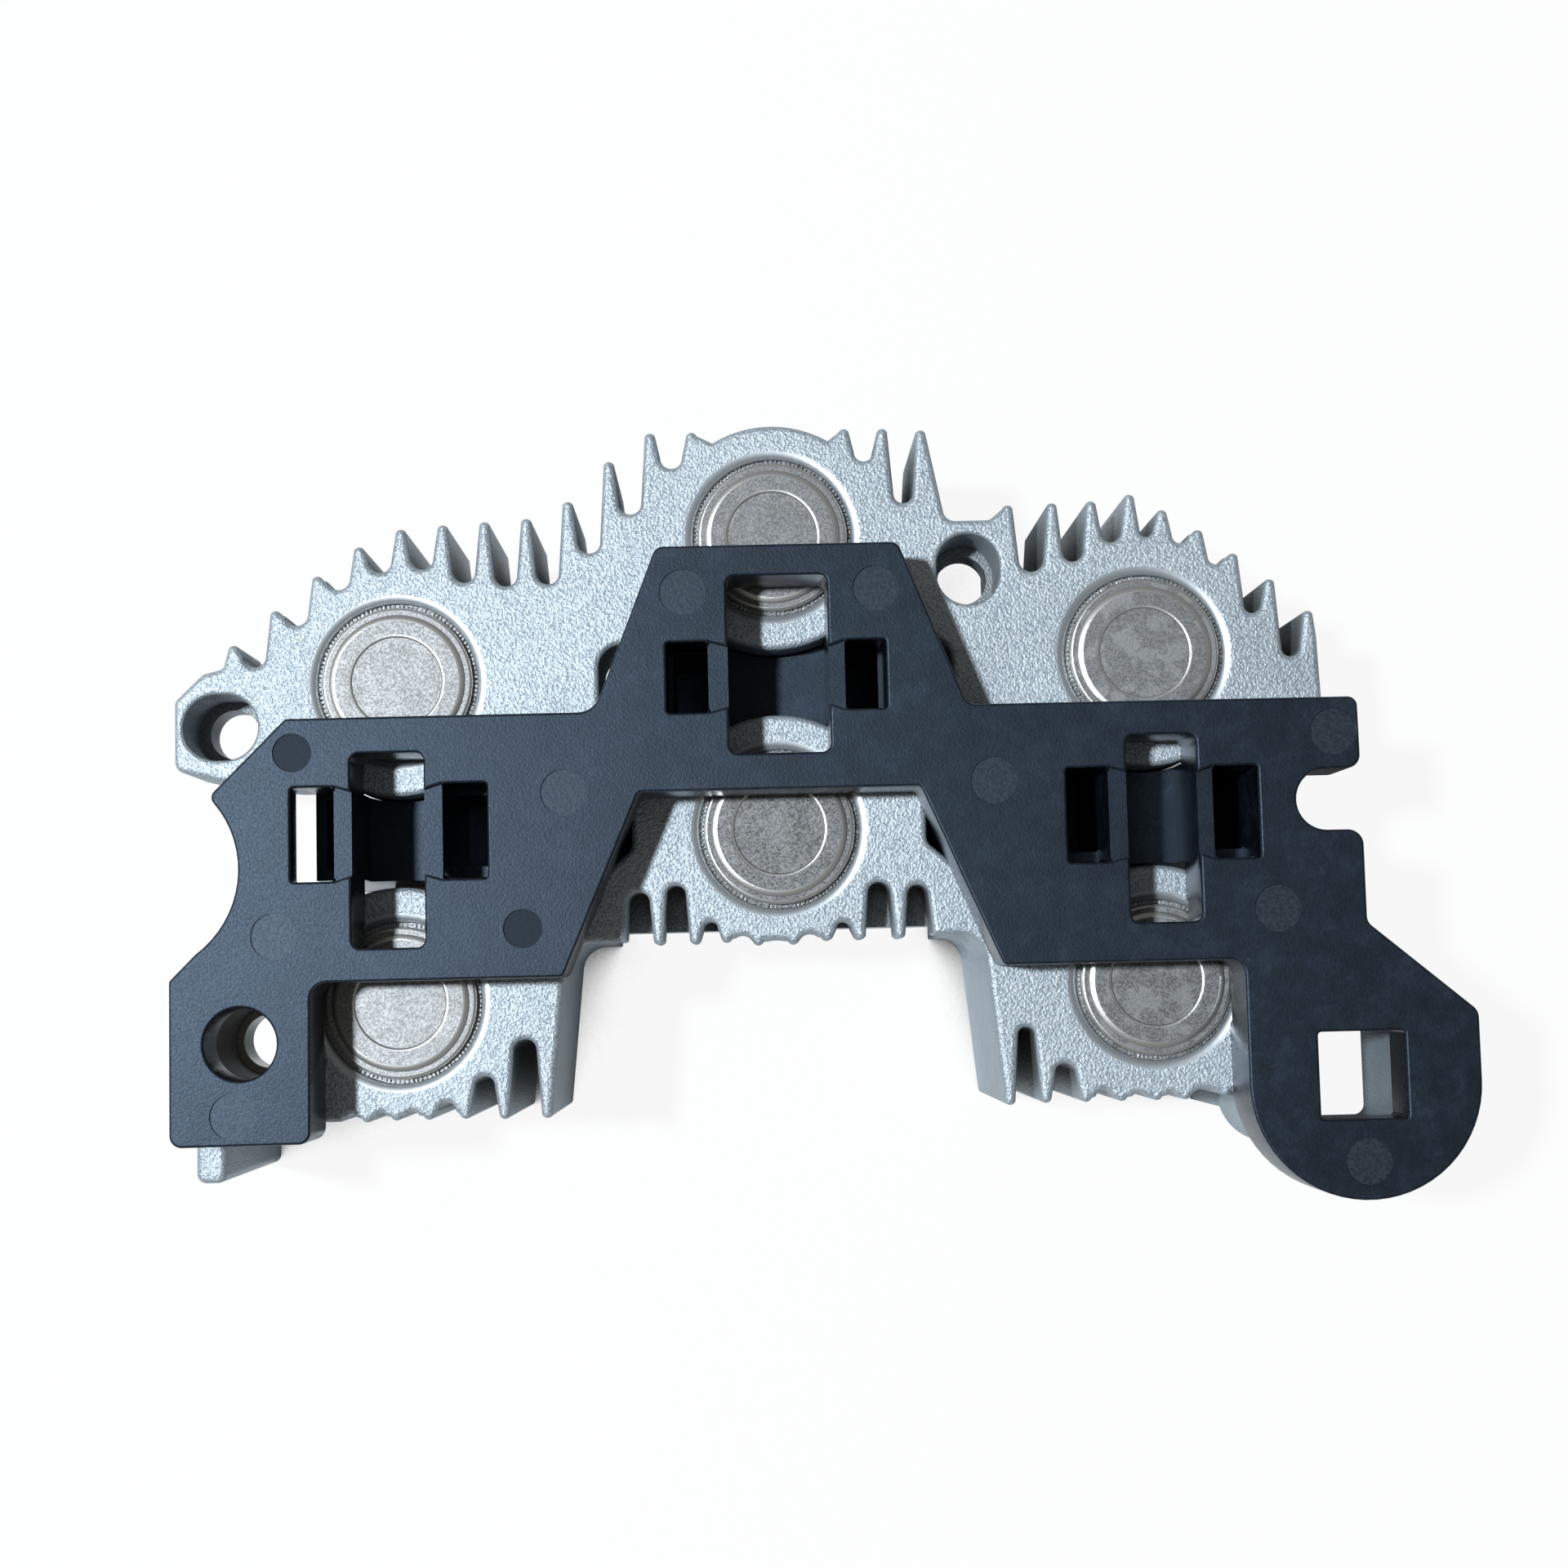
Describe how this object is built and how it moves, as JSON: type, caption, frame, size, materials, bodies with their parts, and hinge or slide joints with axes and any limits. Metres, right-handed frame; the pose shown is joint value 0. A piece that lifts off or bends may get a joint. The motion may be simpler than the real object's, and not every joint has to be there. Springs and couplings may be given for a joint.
{
  "type": "bridge rectifier",
  "caption": "Alternator bridge rectifier: two finned die-cast heat sinks with pressed-in diodes, held by a moulded terminal block with windows and an output lug.",
  "frame": {"origin": "under the middle of the outline, at the level of the ends of the inner casting's long fins, on which the part lies", "axes": "+X along the length towards the output lug, +Y from the inner casting to the outer casting, +Z out of the face into which the diodes are pressed"},
  "size_m": [0.1076, 0.0664, 0.0304],
  "materials": {
    "cast_aluminium": "die-cast and blasted, finely speckled",
    "black_plastic": "moulded, fine matt grain",
    "grey_plastic": "moulded, matt",
    "steel": "turned",
    "copper": "stamped copper strip, satin",
    "nickel_plate": "nickel-plated, satin, with scuffs",
    "silicon": "polished",
    "tinned_copper": "tinned",
    "potting": "cast, slightly glossy"
  },
  "bodies": {
    "root": {"negative_heat_sink": "cast_aluminium", "positive_heat_sink": "cast_aluminium", "terminal_block": "black_plastic", "insulating_bush": "grey_plastic", "screw_sleeve": "steel", "phase_strip_1": "copper", "phase_strip_2": "copper", "phase_strip_3": "copper", "diode_cup_1": "nickel_plate", "diode_die_1": "silicon", "diode_lead_1": "tinned_copper", "diode_potting_1": "potting", "diode_cup_2": "nickel_plate", "diode_die_2": "silicon", "diode_lead_2": "tinned_copper", "diode_potting_2": "potting", "diode_cup_3": "nickel_plate", "diode_die_3": "silicon", "diode_lead_3": "tinned_copper", "diode_potting_3": "potting", "diode_cup_4": "nickel_plate", "diode_die_4": "silicon", "diode_lead_4": "tinned_copper", "diode_potting_4": "potting", "diode_cup_5": "nickel_plate", "diode_die_5": "silicon", "diode_lead_5": "tinned_copper", "diode_potting_5": "potting", "diode_cup_6": "nickel_plate", "diode_die_6": "silicon", "diode_lead_6": "tinned_copper", "diode_potting_6": "potting"}
  },
  "joints": []
}
